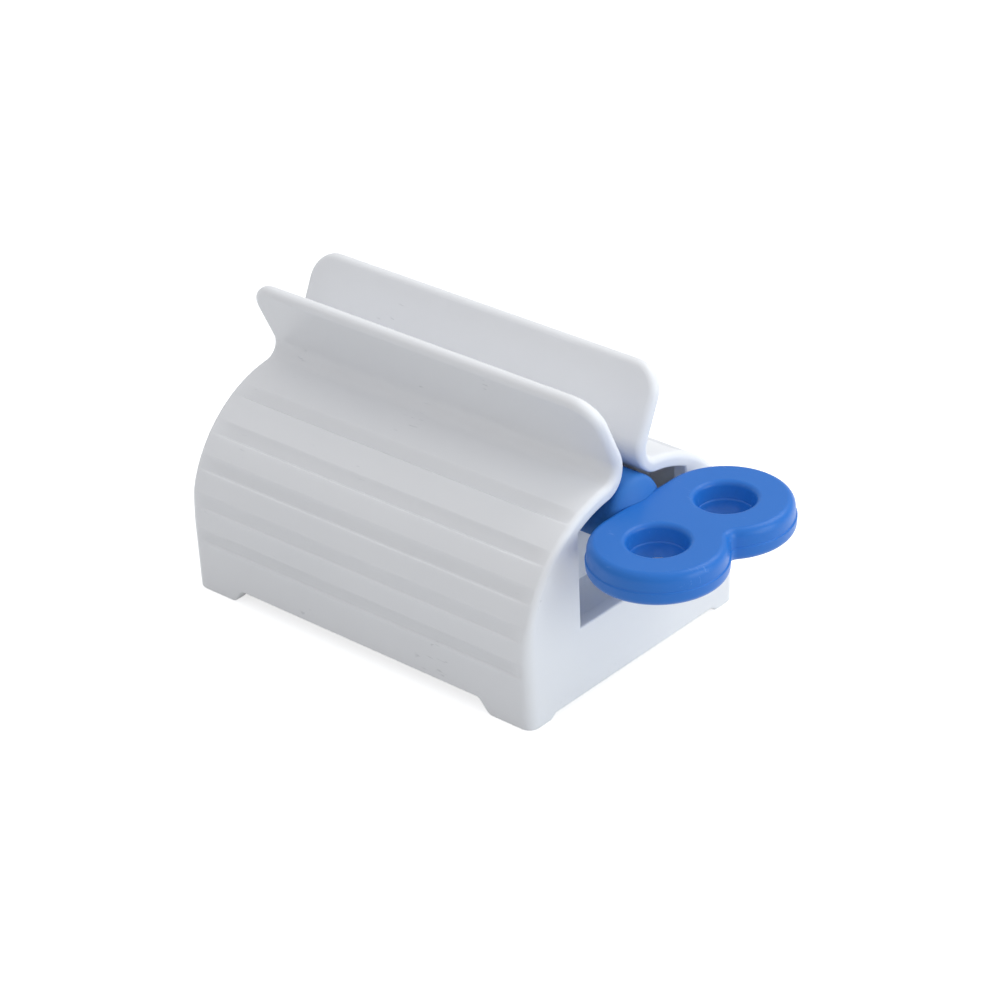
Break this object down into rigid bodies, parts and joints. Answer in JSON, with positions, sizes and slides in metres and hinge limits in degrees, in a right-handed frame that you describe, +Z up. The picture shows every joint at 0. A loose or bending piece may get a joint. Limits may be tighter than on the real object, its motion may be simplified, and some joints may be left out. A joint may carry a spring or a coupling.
{
  "type": "toothpaste dispenser",
  "caption": "Stand for a toothpaste tube: a slotted holder with flared lips and a turn key whose split spindle winds up the tube's tail.",
  "frame": {"origin": "on the surface the feet stand on, under the middle of the whole object with its key", "axes": "+X along the holder towards the key, +Y to the back, +Z up"},
  "size_m": [0.0942, 0.051, 0.0488],
  "materials": {
    "white_plastic": "satin",
    "white_plastic_inside": "satin",
    "blue_plastic": "satin",
    "blue_spindle_plastic": "satin"
  },
  "bodies": {
    "holder": {"holder_shell": "white_plastic", "bearing_cradle": "white_plastic_inside"},
    "key": {"winding_spindle": "blue_spindle_plastic", "key_handle": "blue_plastic"}
  },
  "joints": [
    {"name": "key_turn", "type": "hinge", "parent": "holder", "child": "key", "pos_m": [0, 0, 0.02761], "axis": [1, 0, 0], "continuous": true}
  ]
}
